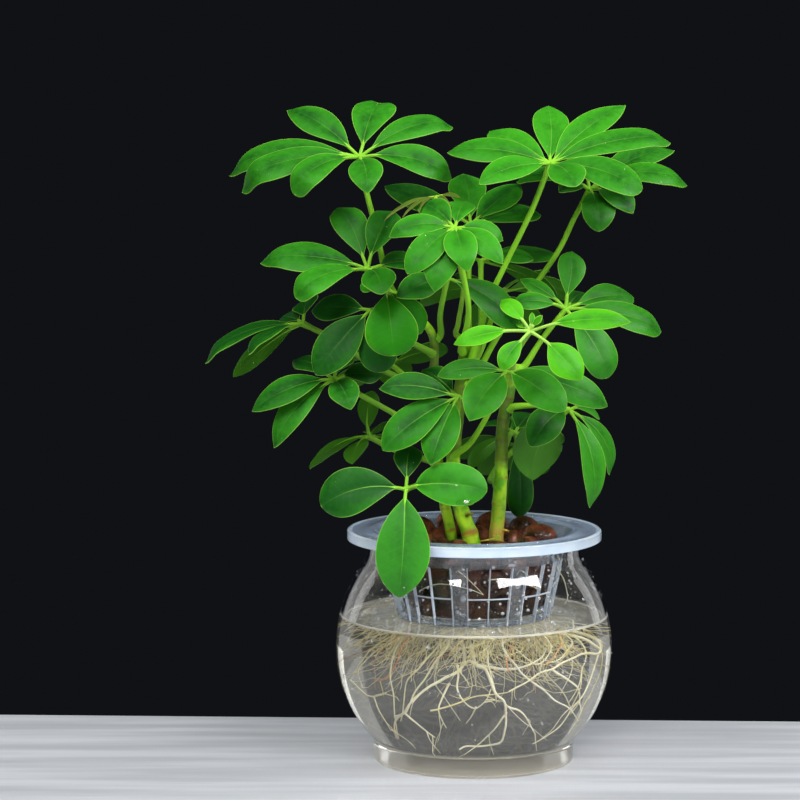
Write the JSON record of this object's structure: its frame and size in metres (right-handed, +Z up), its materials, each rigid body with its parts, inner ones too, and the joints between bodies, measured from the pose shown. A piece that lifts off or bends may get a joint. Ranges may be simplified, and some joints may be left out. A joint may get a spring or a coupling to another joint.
{
  "type": "potted schefflera",
  "caption": "Upright schefflera with whorled oval leaflets, grown in water: round glass bowl, flanged net basket of clay pebbles, green stems and hanging cream roots.",
  "frame": {"origin": "centre of the bowl's flat underside, on the bowl's axis", "axes": "+Z up along the bowl's axis, -Y towards the side the plant is seen from, +X to the right from there"},
  "size_m": [0.2448, 0.1644, 0.3302],
  "materials": {
    "glass": "clear polished glass",
    "water": "clear, faintly yellow water",
    "plastic": "frosted translucent plastic",
    "clay": "wet fired clay",
    "bark": "smooth green bark with tan leaf scars",
    "root_cream": "wet cream roots",
    "leaf_green": "waxy glossy leaf",
    "young_green": "waxy glossy young leaf",
    "shoot_bronze": "downy unopened leaf"
  },
  "bodies": {
    "root": {"bowl": "glass", "water": "water", "basket": "plastic", "clay_pebbles": "clay", "stem_right": "bark", "stem_middle": "bark", "stem_left": "bark", "roots_right": "root_cream", "roots_middle": "root_cream", "roots_left": "root_cream", "leaf_top_left": "leaf_green", "leaf_upper_left": "leaf_green", "leaf_centre_top": "leaf_green", "leaf_back_top": "leaf_green", "leaf_centre_dark": "leaf_green", "leaf_back_centre": "leaf_green", "leaf_top_right": "leaf_green", "leaf_right_back": "leaf_green", "leaf_right_upper": "leaf_green", "leaf_young_bright": "young_green", "leaf_centre_low": "leaf_green", "leaf_left_front": "leaf_green", "leaf_left_low": "leaf_green", "leaf_left_dark": "leaf_green", "leaf_far_left": "leaf_green", "leaf_round_bright": "young_green", "leaf_low_back_left": "leaf_green", "leaf_front_low": "leaf_green", "leaf_right_low": "leaf_green", "leaf_back_low": "leaf_green", "leaf_rear_high": "leaf_green", "leaf_rear_left": "leaf_green", "leaf_rear_low": "leaf_green", "shoot_opening": "shoot_bronze"}
  },
  "joints": []
}
